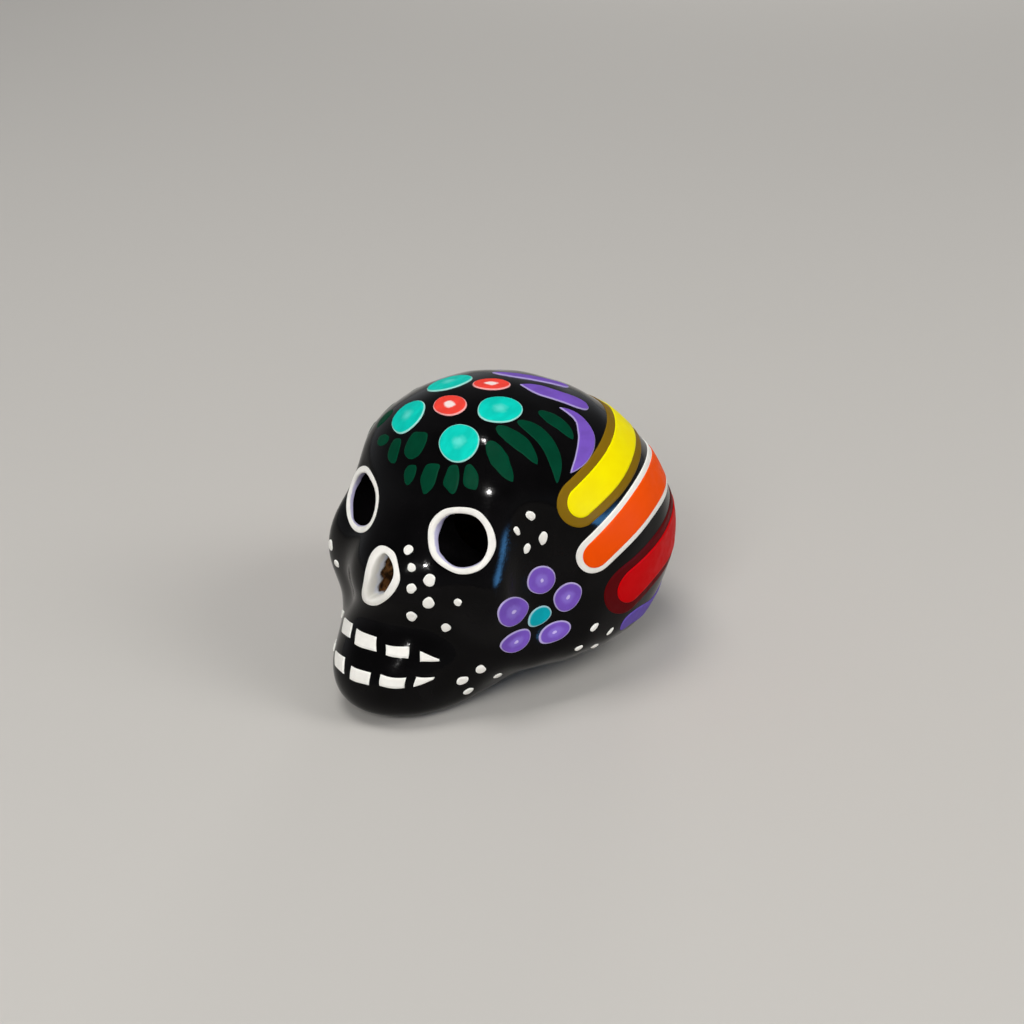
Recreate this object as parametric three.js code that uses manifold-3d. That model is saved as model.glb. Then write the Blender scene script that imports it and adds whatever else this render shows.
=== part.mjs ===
// Hollow painted clay skull: two pressed clay halves, and every raised dab of paint as its own piece.
// Millimetres, Z up. The face looks along -Y, the skull's left side is +X, the base is at Z = 0.
import * as THREE from 'three';
import { mergeVertices } from 'three/addons/utils/BufferGeometryUtils.js';
import Module from 'manifold-3d';

const wasm = await Module();
wasm.setup();

// Cranium: a tilted egg, high at the forehead and full at the back
const CRANIUM_WIDTH = 44.4;
const CRANIUM_LENGTH = 46.8;
const CRANIUM_HEIGHT = 36;
const CRANIUM_Y = 6.1;
const CRANIUM_Z = 20.5;
const CRANIUM_TILT = 35;

// Lower body that carries the cranium down to the table
const JAW_WIDTH = 37.8;
const JAW_LENGTH = 44.6;
const JAW_HEIGHT = 14.6;
const JAW_Y = 0.1;
const JAW_Z = 8.9;

// Long foot under the body, cut flat by the table
const FOOT_WIDTH = 19;
const FOOT_LENGTH = 38;
const FOOT_HEIGHT = 8;
const FOOT_Y = 3;
const FOOT_Z = 2;

// Brow
const BROW_WIDTH = 32.4;
const BROW_LENGTH = 23.8;
const BROW_HEIGHT = 23;
const BROW_Y = -5.4;
const BROW_Z = 26.1;

// Middle of the face, from the bridge of the nose to the upper lip
const MIDFACE_WIDTH = 20;
const MIDFACE_LENGTH = 22;
const MIDFACE_HEIGHT = 17;
const MIDFACE_Y = -13.6;
const MIDFACE_Z = 18.4;

// Mouth, which stands forward of the face
const MOUTH_WIDTH = 20.6;
const MOUTH_LENGTH = 26.6;
const MOUTH_HEIGHT = 17.2;
const MOUTH_Y = -15.6;
const MOUTH_Z = 5.3;

// Cheekbones, one each side
const CHEEK_WIDTH = 11.2;
const CHEEK_LENGTH = 14;
const CHEEK_HEIGHT = 16;
const CHEEK_X = 11.3;
const CHEEK_Y = -12;
const CHEEK_Z = 18.3;

// Hollow of the temple, behind each eye
const TEMPLE_WIDTH = 10;
const TEMPLE_LENGTH = 6.5;
const TEMPLE_HEIGHT = 17;
const TEMPLE_X = 20.5;
const TEMPLE_Y = -12;
const TEMPLE_Z = 22;

// Soft fillets between the masses, smoothed with a wet finger
const BODY_FILLET = 8;
const FACE_FILLET = 5;
const TEMPLE_FILLET = 6;
const BASE_FILLET = 4;

// Depth by which the flat base cuts into the rounded foot
const BASE_FLAT = 0.8;

// Clay wall, and the seam where the two halves were pressed together
const WALL = 3;
const SEAM_Y = -8.5;

// Eye and nose holes, cut straight back through the wall
const EYE_HOLE_WIDTH = 6.5;
const EYE_HOLE_HEIGHT = 6.9;
const RIGHT_EYE_WIDTH = 5.9;
const NOSE_HOLE_WIDTH = 4.2;
const NOSE_HOLE_HEIGHT = 6.4;
const HOLE_REACH = 8;

// Raised paint: film, the thin ground coat that it sits on, and the white lips round the holes
const PAINT = 0.3;
const GROUND_COAT = 0.2;
const EYE_LIP = 0.7;
const NOSE_LIP = 0.8;
const LIP_CLEARANCE = 0.05;

// Widths of the painted marks
const PETAL_FRONT = 5.4;
const PETAL_BACK = 5.7;
const PETAL_SIDE = 3.9;
const CROWN_CENTRE = 4;
const SIDE_CENTRE = 2.5;
const LEAF_WIDTH = 3.2;
const PURPLE_WIDTH = 3.2;
const CRESCENT_WIDTH = 3;
const OLIVE_BAND = 5.8;
const YELLOW_BAND = 4;
const WHITE_BAND = 6.2;
const ORANGE_BAND = 4.4;
const DARK_RED_BAND = 8.8;
const RED_BAND = 6.2;
const VIOLET_BAND = 3.8;

// Places of the eyes and nose as longitude from the face and latitude, seen from the middle of the hollow
const HEART_Z = 16.5;
const HEART = new THREE.Vector3(0, 0, HEART_Z);
const LEFT_EYE = [28.2, 25.6];
const RIGHT_EYE = [-25.8, 27.7];
const NOSE = [2.1, 8.5];

// Union of two signed depths with a round fillet
function fillet(a, b, k) {
  const h = Math.max(k - Math.abs(a - b), 0) / k;
  return Math.min(a, b) - (h * h * k) / 4;
}

// Signed depth of a point in an ellipsoid about the origin, negative inside
function egg(x, y, z, width, length, height) {
  const [u, v, w] = [(2 * x) / width, (2 * y) / length, (2 * z) / height];
  const k0 = Math.hypot(u, v, w);
  const k1 = Math.hypot((2 * u) / width, (2 * v) / length, (2 * w) / height);
  return k1 < 1e-9 ? -Math.min(width, length, height) / 2 : (k0 * (k0 - 1)) / k1;
}

// Signed depth of a point in the clay body, negative inside
const TILT = THREE.MathUtils.degToRad(CRANIUM_TILT);
function clay(p) {
  const x = Math.abs(p.x);
  const { y, z } = p;
  const dy = y - CRANIUM_Y;
  const dz = z - CRANIUM_Z;
  const along = dy * Math.cos(TILT) - dz * Math.sin(TILT);
  const above = dy * Math.sin(TILT) + dz * Math.cos(TILT);
  let d = egg(x, along, above, CRANIUM_WIDTH, CRANIUM_LENGTH, CRANIUM_HEIGHT);
  d = fillet(d, egg(x, y - JAW_Y, z - JAW_Z, JAW_WIDTH, JAW_LENGTH, JAW_HEIGHT), BODY_FILLET);
  d = fillet(d, egg(x, y - FOOT_Y, z - FOOT_Z, FOOT_WIDTH, FOOT_LENGTH, FOOT_HEIGHT), BASE_FILLET);
  d = fillet(d, egg(x, y - BROW_Y, z - BROW_Z, BROW_WIDTH, BROW_LENGTH, BROW_HEIGHT), FACE_FILLET);
  const midface = egg(x, y - MIDFACE_Y, z - MIDFACE_Z, MIDFACE_WIDTH, MIDFACE_LENGTH, MIDFACE_HEIGHT);
  d = fillet(d, midface, FACE_FILLET);
  d = fillet(d, egg(x, y - MOUTH_Y, z - MOUTH_Z, MOUTH_WIDTH, MOUTH_LENGTH, MOUTH_HEIGHT), FACE_FILLET);
  const cheek = egg(x - CHEEK_X, y - CHEEK_Y, z - CHEEK_Z, CHEEK_WIDTH, CHEEK_LENGTH, CHEEK_HEIGHT);
  d = fillet(d, cheek, FACE_FILLET);
  const temple = egg(x - TEMPLE_X, y - TEMPLE_Y, z - TEMPLE_Z, TEMPLE_WIDTH, TEMPLE_LENGTH, TEMPLE_HEIGHT);
  d = -fillet(-d, temple, TEMPLE_FILLET);
  return Math.max(-fillet(-d, z + BASE_FLAT, BASE_FILLET), -z);
}

// First point along a ray where the depth is reached, by halving
function reach(from, way, near, far, depth) {
  let a = near;
  let b = far;
  const p = new THREE.Vector3();
  for (let i = 0; i < 40; i++) {
    const t = (a + b) / 2;
    if (clay(p.copy(from).addScaledVector(way, t)) < -depth) a = t;
    else b = t;
  }
  return p.copy(from).addScaledVector(way, a);
}

// Unit direction from a longitude and a latitude in degrees
function aim([longitude, latitude]) {
  const lon = THREE.MathUtils.degToRad(longitude);
  const lat = THREE.MathUtils.degToRad(latitude);
  return new THREE.Vector3(Math.cos(lat) * Math.sin(lon), -Math.cos(lat) * Math.cos(lon), Math.sin(lat));
}

// Point on the clay in a direction from the heart
const FAR = 90;
function skin(way) {
  return reach(HEART, way, 0, FAR, 0);
}

// Outward normal of the clay at a point
function facing(p) {
  const e = 0.05;
  const slope = (x, y, z) => clay(new THREE.Vector3(p.x + x, p.y + y, p.z + z));
  return new THREE.Vector3(
    slope(e, 0, 0) - slope(-e, 0, 0),
    slope(0, e, 0) - slope(0, -e, 0),
    slope(0, 0, e) - slope(0, 0, -e),
  ).normalize();
}

// Closed geometry from points and triangles
function closed(points, triangles) {
  const g = new THREE.BufferGeometry();
  g.setAttribute('position', new THREE.Float32BufferAttribute(points.flatMap((p) => [p.x, p.y, p.z]), 3));
  g.setIndex(triangles.flat());
  g.computeVertexNormals();
  return g;
}

// Geometry to solid and back, for cuts
function solid(geometry) {
  geometry.deleteAttribute('normal');
  geometry.deleteAttribute('uv');
  const g = mergeVertices(geometry, 1e-5);
  const vertProperties = new Float32Array(g.attributes.position.array);
  const triVerts = new Uint32Array(g.index.array);
  return new wasm.Manifold(new wasm.Mesh({ numProp: 3, vertProperties, triVerts }));
}
function geometryOf(body) {
  const m = body.getMesh();
  const g = new THREE.BufferGeometry();
  g.setAttribute('position', new THREE.Float32BufferAttribute(Array.from(m.vertProperties), 3));
  g.setIndex(Array.from(m.triVerts));
  g.computeVertexNormals();
  return g;
}

// A ball whose every point moves out to the clay face, or to a depth below it
function body(depth, around, down) {
  const g = new THREE.SphereGeometry(1, around, down).rotateX(Math.PI / 2);
  g.deleteAttribute('normal');
  g.deleteAttribute('uv');
  const ball = mergeVertices(g, 1e-5);
  const at = ball.attributes.position;
  const way = new THREE.Vector3();
  for (let i = 0; i < at.count; i++) {
    way.fromBufferAttribute(at, i).normalize();
    const p = reach(HEART, way, 0, FAR, depth);
    at.setXYZ(i, p.x, p.y, p.z);
  }
  return ball;
}

// How far paint lies from the heart: on the clay, and clear of every facet of the outside
const outside = body(0, 60, 32);
const ground = new THREE.Mesh(outside, new THREE.MeshBasicMaterial({ side: THREE.DoubleSide }));
const ray = new THREE.Raycaster();
function seat(way) {
  ray.set(HEART, way);
  const [facet] = ray.intersectObject(ground);
  return Math.max(skin(way).distanceTo(HEART), facet ? facet.distance : 0);
}

// Outlines of the holes, one in half size, by the share of a turn
const EYE_OUTLINE = (turn) => [Math.cos(turn * 2 * Math.PI), Math.sin(turn * 2 * Math.PI)];
const NOSE_CORNERS = [
  [1, 0.22], [0.7, 0.71], [-0.09, 0.99], [-0.57, 0.68],
  [-0.74, -0.14], [-0.96, -1], [-0.26, -0.96], [0.52, -0.52],
];
const noseCurve = new THREE.CatmullRomCurve3(
  NOSE_CORNERS.map(([x, y]) => new THREE.Vector3(x, y, 0)),
  true,
);
const NOSE_OUTLINE = (turn) => noseCurve.getPointAt(turn).toArray();

// Points round a hole about a place on the clay, at a depth back from it
function holeRing(place, outline, width, height, depth, steps) {
  const at = skin(aim(place));
  return Array.from({ length: steps }, (_, i) => {
    const [x, y] = outline(i / steps);
    return new THREE.Vector3(at.x + (x * width) / 2, at.y + depth, at.z + (y * height) / 2);
  });
}

// Cutter of a hole
function cutter(place, outline, width, height) {
  const steps = 28;
  const at = skin(aim(place));
  const points = [
    ...holeRing(place, outline, width, height, HOLE_REACH, steps),
    ...holeRing(place, outline, width, height, -HOLE_REACH, steps),
    new THREE.Vector3(at.x, at.y + HOLE_REACH, at.z),
    new THREE.Vector3(at.x, at.y - HOLE_REACH, at.z),
  ];
  const triangles = [];
  for (let i = 0; i < steps; i++) {
    const j = (i + 1) % steps;
    triangles.push([i, j, steps + j], [i, steps + j, steps + i]);
    triangles.push([j, i, 2 * steps], [steps + i, steps + j, 2 * steps + 1]);
  }
  return solid(closed(points, triangles));
}

// Raised lip round a hole: a ring that follows the clay outwards from the edge
const FORWARD = new THREE.Vector3(0, -1, 0);
function lip(place, outline, width, height, wide) {
  const steps = 24;
  const inner = holeRing(place, outline, width, height, 2 * WALL, steps);
  const edge = inner.map((q) => reach(q, FORWARD, 0, FAR, 0));
  const section = [
    [LIP_CLEARANCE, GROUND_COAT], [LIP_CLEARANCE, GROUND_COAT + PAINT * 0.7],
    [wide * 0.5, GROUND_COAT + PAINT], [wide, GROUND_COAT + PAINT * 0.5], [wide, GROUND_COAT],
  ];
  const points = [];
  const triangles = [];
  const n = section.length;
  for (let i = 0; i < steps; i++) {
    const along = edge[(i + 1) % steps].clone().sub(edge[(i + steps - 1) % steps]);
    const away = along.cross(facing(edge[i])).normalize();
    for (const [grow, lift] of section) {
      const way = edge[i].clone().addScaledVector(away, grow).sub(HEART).normalize();
      points.push(HEART.clone().addScaledVector(way, seat(way) + lift));
    }
    for (let k = 0; k < n; k++) {
      const a = i * n + k;
      const b = i * n + ((k + 1) % n);
      const c = ((i + 1) % steps) * n + k;
      const d = ((i + 1) % steps) * n + ((k + 1) % n);
      triangles.push([a, b, c], [b, d, c]);
    }
  }
  return closed(points, triangles);
}

// Film of paint over a patch of the clay: directions, triangles and the rim, all seen from outside
function film(ways, faces, rim, layer) {
  const low = GROUND_COAT + layer * (PAINT + GROUND_COAT);
  const count = ways.length;
  const seats = ways.map(seat);
  const raised = (lift) => ways.map((w, i) => HEART.clone().addScaledVector(w, seats[i] + lift));
  const points = [...raised(low), ...raised(low + PAINT)];
  const triangles = [];
  for (const [a, b, c] of faces) triangles.push([a, c, b], [count + a, count + b, count + c]);
  for (let i = 0; i < rim.length; i++) {
    const [a, b] = [rim[i], rim[(i + 1) % rim.length]];
    triangles.push([a, b, count + b], [a, count + b, count + a]);
  }
  return closed(points, triangles);
}

// Round or leaf-shaped dab between two places on the clay
const ROUND = (angle) => [Math.cos(angle), Math.sin(angle)];
const LEAF_TAPER = 0.3;
const TAPERED = (angle) => [Math.cos(angle), Math.sin(angle) * (1 - LEAF_TAPER * Math.cos(angle))];
function dab(from, to, width, form = ROUND) {
  const steps = 12;
  const a = skin(aim(from));
  const b = skin(aim(to));
  const middle = skin(a.clone().add(b).multiplyScalar(0.5).sub(HEART).normalize());
  const normal = facing(middle);
  const half = b.clone().sub(a).multiplyScalar(0.5);
  half.addScaledVector(normal, -half.dot(normal));
  const side = new THREE.Vector3().crossVectors(normal, half).setLength(width / 2);
  const spot = (u, v) => {
    const p = middle.clone().addScaledVector(half, u).addScaledVector(side, v);
    return p.sub(HEART).normalize();
  };
  const ways = [spot(0, 0)];
  const faces = [];
  for (const [ring, size] of [0.55, 1].entries()) {
    for (let i = 0; i < steps; i++) {
      const [u, v] = form(((i + 0.5) / steps) * Math.PI * 2);
      ways.push(spot(u * size, v * size));
      const j = (i + 1) % steps;
      if (ring === 0) faces.push([0, 1 + i, 1 + j]);
      else faces.push([1 + i, 1 + steps + i, 1 + steps + j], [1 + i, 1 + steps + j, 1 + j]);
    }
  }
  const rim = Array.from({ length: steps }, (_, i) => 1 + steps + i);
  return film(ways, faces, rim, 0);
}

// Film over a net of places: rows run along it and columns to the left, seen from outside
function net(ways, rows, columns, layer) {
  const faces = [];
  for (let i = 0; i < rows - 1; i++) {
    for (let k = 0; k < columns - 1; k++) {
      const a = i * columns + k;
      faces.push([a, a + columns, a + columns + 1], [a, a + columns + 1, a + 1]);
    }
  }
  const line = (count, place) => Array.from({ length: count }, (_, i) => place(i));
  const [last, end] = [rows - 1, columns - 1];
  const rim = [
    ...line(last, (i) => i * columns), ...line(end, (k) => last * columns + k),
    ...line(last, (i) => (last - i) * columns + end), ...line(end, (k) => end - k),
  ];
  return film(ways, faces, rim, layer);
}

// Four-cornered dab: lower left, lower right, upper right and upper left as it is seen
function quad(corners) {
  const [a, b, c, d] = corners.map((place) => skin(aim(place)));
  const [rows, columns] = [5, 4];
  const ways = [];
  for (let i = 0; i < rows; i++) {
    const low = a.clone().lerp(b, i / (rows - 1));
    const high = d.clone().lerp(c, i / (rows - 1));
    for (let k = 0; k < columns; k++) {
      const p = low.clone().lerp(high, k / (columns - 1));
      ways.push(p.sub(HEART).normalize());
    }
  }
  return net(ways, rows, columns, 0);
}

// Brush stroke along places on the clay, with a width that swells and tapers
const BLUNT = 0.14;
const LEAFY = (s) => Math.max(Math.sqrt(s) * Math.pow(1 - s, 0.7) * 1.9, BLUNT);
const CRESCENT = (s) => Math.max(Math.sin(Math.PI * s) ** 0.8, BLUNT);
const BRUSH_TIP = 0.4;
const BRUSH_HEEL = 0.15;
function BRUSHED(s) {
  const tip = Math.sin((Math.PI / 2) * Math.min(s / BRUSH_TIP, 1));
  const heel = Math.max(s - 1 + BRUSH_HEEL, 0) / BRUSH_HEEL;
  return Math.max(tip * Math.sqrt(1 - heel * heel), BLUNT);
}
const evenly = (count, form) => Array.from({ length: count + 1 }, (_, i) => [i / count, form(i / count)]);
const CAP = [14, 35, 60].map((degrees) => THREE.MathUtils.degToRad(degrees));
function roundEnds(count, cap) {
  const start = CAP.map((turn) => [cap * (1 - Math.cos(turn)), Math.sin(turn)]);
  const middle = evenly(count, () => 1).map(([s, size]) => [cap + s * (1 - 2 * cap), size]);
  return [...start, ...middle, ...start.map(([s, size]) => [1 - s, size]).reverse()];
}
function stroke(places, width, stations, layer = 0, inset = 0) {
  const route = new THREE.CatmullRomCurve3(places.map((p) => skin(aim(p))), false, 'centripetal');
  const trim = inset / route.getLength();
  const list = stations(width / 2 / (route.getLength() - 2 * inset));
  const across = [-1, -0.4, 0.4, 1];
  const ways = [];
  for (const [step, size] of list) {
    const s = trim + step * (1 - 2 * trim);
    const p = skin(route.getPointAt(s).sub(HEART).normalize());
    const side = new THREE.Vector3().crossVectors(facing(p), route.getTangentAt(s));
    side.setLength((size * width) / 2);
    for (const k of across) ways.push(p.clone().addScaledVector(side, k).sub(HEART).normalize());
  }
  return net(ways, list.length, across.length, layer);
}

// Finishes
const finish = (color, roughness) => new THREE.MeshStandardMaterial({ color, roughness, metalness: 0 });
const BLACK = finish('#0b0a0a', 0.25);
const WHITE = finish('#f2f0ea', 0.45);
const TEAL = finish('#12bfae', 0.4);
const CORAL = finish('#e8352f', 0.4);
const GREEN = finish('#0a4a37', 0.4);
const LILAC = finish('#7b5bbe', 0.4);
const OLIVE = finish('#6b5310', 0.4);
const YELLOW = finish('#ffe600', 0.4);
const ORANGE = finish('#ff5000', 0.4);
const DARK_RED = finish('#5a0508', 0.4);
const RED = finish('#d00000', 0.4);
const VIOLET = finish('#6a55b0', 0.4);

const skull = new THREE.Group();
function piece(name, geometry, material) {
  const mesh = new THREE.Mesh(geometry, material);
  mesh.name = name;
  skull.add(mesh);
}

// Clay shell: outside less hollow less the holes, parted at the seam
const LEFT_HOLE = [LEFT_EYE, EYE_OUTLINE, EYE_HOLE_WIDTH, EYE_HOLE_HEIGHT];
const RIGHT_HOLE = [RIGHT_EYE, EYE_OUTLINE, RIGHT_EYE_WIDTH, EYE_HOLE_HEIGHT];
const NOSE_HOLE = [NOSE, NOSE_OUTLINE, NOSE_HOLE_WIDTH, NOSE_HOLE_HEIGHT];
let shell = solid(outside).subtract(solid(body(WALL, 26, 16)));
for (const hole of [LEFT_HOLE, RIGHT_HOLE, NOSE_HOLE]) shell = shell.subtract(cutter(...hole));
const front = solid(new THREE.BoxGeometry(2 * FAR, 2 * FAR, 2 * FAR).translate(0, SEAM_Y - FAR, 0));
piece('face_shell', geometryOf(shell.intersect(front)), BLACK);
piece('cranium_shell', geometryOf(shell.subtract(front)), BLACK);

// White lips of the holes
piece('eye_lip_left', lip(...LEFT_HOLE, EYE_LIP), WHITE);
piece('eye_lip_right', lip(...RIGHT_HOLE, EYE_LIP), WHITE);
piece('nose_lip', lip(...NOSE_HOLE, NOSE_LIP), WHITE);

// Teeth: two rows of five four-cornered marks, the outer ones drawn out to a point
const UPPER = [
  [[-31, -18.2], [-25.6, -17.6], [-25.6, -15.4], [-31, -17.7]],
  [[-14, -14.5], [-7, -12.7], [-9.5, -10.3], [-18.5, -13]],
  [[-4.1, -12.8], [4.4, -12.7], [2.9, -9.9], [-6, -10.1]],
  [[7.3, -13], [13.8, -14.4], [13.4, -11.8], [6.3, -10.9]],
  [[17.1, -15.5], [22.6, -16.5], [22.8, -16], [16.8, -13.1]],
];
const LOWER = [
  [[-22.2, -21.8], [-17, -21], [-17, -19], [-22.2, -21.3]],
  [[-9.4, -19.4], [-3.8, -18.7], [-5.4, -15.9], [-12.8, -17.8]],
  [[-1, -18.8], [5.3, -19.2], [4.8, -16.6], [-1.9, -16.2]],
  [[8, -19.2], [14.4, -20.6], [14.3, -18.3], [7.6, -16.8]],
  [[16.5, -21], [21.6, -20.8], [21.8, -20.3], [16.9, -18.8]],
];
UPPER.forEach((corners, i) => piece(`tooth_upper_${i + 1}`, quad(corners), WHITE));
LOWER.forEach((corners, i) => piece(`tooth_lower_${i + 1}`, quad(corners), WHITE));

// Crown flower: four teal petals and a coral one round a coral centre
piece('crown_centre', dab([-26.7, 70.9], [13.2, 69.9], CROWN_CENTRE), CORAL);
piece('crown_back', dab([-44, 83.9], [113, 83.4], CROWN_CENTRE), CORAL);
piece('crown_front_left', dab([8.9, 62.5], [29.4, 52.6], PETAL_FRONT), TEAL);
piece('crown_front_right', dab([-18.9, 55.3], [-45.2, 63.8], PETAL_FRONT), TEAL);
piece('crown_back_left', dab([28.9, 69.6], [74.3, 72.8], PETAL_BACK), TEAL);
piece('crown_back_right', dab([-62, 67.8], [-88.5, 82.6], PETAL_BACK), TEAL);

// Leaves that fan out below the crown, the long ones on both sides of the brow
const SHORT_LEAVES = [
  [[-31.5, 51.8], [-28.2, 46.6], 0.6], [[-20.3, 52.7], [-15.5, 44.5], 0.78],
  [[-6.5, 58.5], [-4.1, 48.3], 1.15], [[-0.5, 47.4], [-1.9, 40.5], 0.68],
  [[10.6, 49.2], [9.5, 39.2], 0.86], [[20.3, 49.5], [21.9, 40.6], 0.74], [[28.9, 49.9], [32.5, 42.9], 0.66],
];
SHORT_LEAVES.forEach(([from, to, size], i) => {
  piece(`leaf_front_${i + 1}`, dab(from, to, LEAF_WIDTH * size, TAPERED), GREEN);
});
const LEFT_LEAVES = [
  [[37.7, 58.8], [41.7, 54.1], [45.2, 50.2], [50, 44.3]],
  [[45.2, 64.2], [57, 58.4], [61.2, 53.4], [62.9, 49.5]],
  [[61.8, 65.4], [72.1, 56.8], [73.2, 49.6], [70.8, 41.4]],
  [[85.8, 68.2], [89.8, 61.7], [90.9, 57.4], [90.3, 53.8]],
];
const RIGHT_LEAVES = [
  [[-52.4, 55.8], [-50, 52], [-47, 48.6]], [[-64.5, 43.5], [-61, 38.5], [-58, 32.5]],
  [[-76, 50.8], [-75, 46.8], [-72, 42]], [[-92, 56], [-91, 52], [-88, 46.6]],
];
for (const [side, leaves] of [['left', LEFT_LEAVES], ['right', RIGHT_LEAVES]]) {
  leaves.forEach((places, i) => {
    piece(`leaf_${side}_${i + 1}`, stroke(places, LEAF_WIDTH, () => evenly(7, LEAFY)), GREEN);
  });
}

// Purple strokes behind the crown, and a crescent above the end of the highest band on each side
const PURPLE_STROKES = {
  left: [[126.2, 80.6], [123.7, 75.1], [123.3, 69.2], [123.9, 62.2], [126.7, 56.8]],
  middle: [[-142, 79], [-172.7, 79], [165.6, 74.6], [156.3, 68.5], [156.3, 61]],
  right: [[-136, 62], [-133, 57], [-133, 51.5]],
};
const PURPLE_CRESCENTS = {
  left: [[106.4, 65], [108.8, 59.9], [106.9, 55.9], [100.5, 52.3], [91.1, 49], [79.4, 44.9]],
  right: [[-108, 59.5], [-112.5, 57], [-111.5, 54], [-105, 51.6], [-97, 49]],
};
for (const [name, places] of Object.entries(PURPLE_STROKES)) {
  piece(`purple_stroke_${name}`, stroke(places, PURPLE_WIDTH, () => evenly(9, BRUSHED)), LILAC);
}
for (const [name, places] of Object.entries(PURPLE_CRESCENTS)) {
  piece(`purple_crescent_${name}`, stroke(places, CRESCENT_WIDTH, () => evenly(9, CRESCENT)), LILAC);
}

// Bands from temple to temple round the back: a border stroke with a brighter one over its middle
const mirror = (places) => places.map(([lon, lat]) => [-lon, lat]);
const round = (places) => [...places, ...mirror(places).reverse().slice(1)];
const HIGH = round([
  [70.2, 31.2], [81.7, 35], [97, 38.6], [113, 41.2], [132, 42.2], [146, 41], [160, 38.8], [180, 37.6],
]);
const MIDDLE = round([
  [77.2, 10.2], [86.8, 16.8], [98.8, 22], [114, 25.4], [130, 26.2], [146, 25], [160, 23.2], [180, 22],
]);
const LOW = round([[90.2, -10.4], [96.8, -6], [107.8, -1], [119, 2.6], [135, 4.4], [155, 4], [180, 3.4]]);
const LOWEST = round([[101, -23.4], [109, -19.8], [120, -17.4], [150, -13.4], [180, -11.6]]);
const BAND_STATIONS = 20;
const ends = (cap) => roundEnds(BAND_STATIONS, cap);
const border = (places, width) => stroke(places, width, ends);
const core = (places, width, over) => stroke(places, width, ends, 1, (over - width) / 2);
piece('band_olive', border(HIGH, OLIVE_BAND), OLIVE);
piece('band_yellow', core(HIGH, YELLOW_BAND, OLIVE_BAND), YELLOW);
piece('band_white', border(MIDDLE, WHITE_BAND), WHITE);
piece('band_orange', core(MIDDLE, ORANGE_BAND, WHITE_BAND), ORANGE);
piece('band_dark_red', border(LOW, DARK_RED_BAND), DARK_RED);
piece('band_red', core(LOW, RED_BAND, DARK_RED_BAND), RED);
piece('band_violet', border(LOWEST, VIOLET_BAND), VIOLET);

// Flower on each side: five purple petals round a teal centre
const SIDE_PETALS = [
  [[63.9, 1.6], [58.5, 13.6], 1.02], [[68.1, -6.8], [77.4, 2.8], 0.98], [[42.4, 1.7], [53.6, -4.6], 1],
  [[59, -16.4], [73.5, -14.2], 0.72], [[43, -14.2], [55.3, -13], 0.82],
];
for (const [side, turn] of [['left', (p) => p], ['right', mirror]]) {
  SIDE_PETALS.forEach(([from, to, size], i) => {
    piece(`side_petal_${side}_${i + 1}`, dab(...turn([from, to]), PETAL_SIDE * size), LILAC);
  });
  piece(`side_centre_${side}`, dab(...turn([[54.4, -9], [65.6, -6.8]]), SIDE_CENTRE), TEAL);
}

// The origin is under the middle of the clay
const box = new THREE.Box3().setFromObject(skull);
skull.position.set(-(box.min.x + box.max.x) / 2, -(box.min.y + box.max.y) / 2, -box.min.z);

export default skull;
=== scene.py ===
# Painted clay skull, dressed: fine clay, white-lined holes, raised brush marks and a plain studio.
# Shapes are worked out in millimetres, in the frame of the solids, and become metres in mesh_of().
import math

import bmesh
import bpy
import numpy as np
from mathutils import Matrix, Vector


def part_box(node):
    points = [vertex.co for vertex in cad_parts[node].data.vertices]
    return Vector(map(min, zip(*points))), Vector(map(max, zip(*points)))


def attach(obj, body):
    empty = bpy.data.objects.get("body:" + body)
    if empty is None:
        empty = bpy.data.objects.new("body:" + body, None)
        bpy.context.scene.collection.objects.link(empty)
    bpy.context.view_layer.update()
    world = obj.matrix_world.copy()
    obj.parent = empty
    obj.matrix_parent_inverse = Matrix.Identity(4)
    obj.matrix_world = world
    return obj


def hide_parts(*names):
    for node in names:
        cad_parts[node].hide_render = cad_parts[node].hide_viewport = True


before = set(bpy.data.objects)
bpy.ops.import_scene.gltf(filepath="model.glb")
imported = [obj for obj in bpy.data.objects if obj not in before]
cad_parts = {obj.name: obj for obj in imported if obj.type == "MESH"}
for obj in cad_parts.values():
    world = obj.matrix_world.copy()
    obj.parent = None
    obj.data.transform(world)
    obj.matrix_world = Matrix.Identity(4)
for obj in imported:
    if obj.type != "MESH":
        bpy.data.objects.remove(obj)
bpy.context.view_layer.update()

MM = 0.001
FULL_TURN = 2 * math.pi

# Clay masses as width, length, height and centre, in millimetres with the base at zero
CRANIUM = (44.4, 46.8, 36.0), (0.0, 6.1, 20.5)
CRANIUM_TILT = math.radians(35)
JAW = (37.8, 44.6, 14.6), (0.0, 0.1, 8.9)
FOOT = (19.0, 38.0, 8.0), (0.0, 3.0, 2.0)
BROW = (32.4, 23.8, 23.0), (0.0, -5.4, 26.1)
MIDFACE = (20.0, 22.0, 17.0), (0.0, -13.6, 18.4)
MOUTH = (20.6, 26.6, 17.2), (0.0, -15.6, 5.3)
CHEEK = (11.2, 14.0, 16.0), (11.3, -12.0, 18.3)
TEMPLE = (10.0, 6.5, 17.0), (20.5, -12.0, 22.0)
BODY_FILLET = 8.0
FACE_FILLET = 5.0
TEMPLE_FILLET = 6.0
BASE_FILLET = 4.0
BASE_FLAT = 0.8
WALL = 3.0
SEAM_Y = -8.5

# Rays that look for the clay: where they start, how far they go and how often their span is halved
HEART = np.array([0.0, 0.0, 16.5])
FAR = 90.0
HALVINGS = 36
NORMAL_STEP = 0.05

# The solids were moved so that their box stands on the origin: the seam shows by how much
SHIFT = np.array([0.0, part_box("cranium_shell")[0].y / MM - SEAM_Y, 0.0])

# Unevenness of clay smoothed by hand: its height, and how far above the base it is in full
UNEVEN = 0.035
UNEVEN_RISE = 4.0

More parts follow.
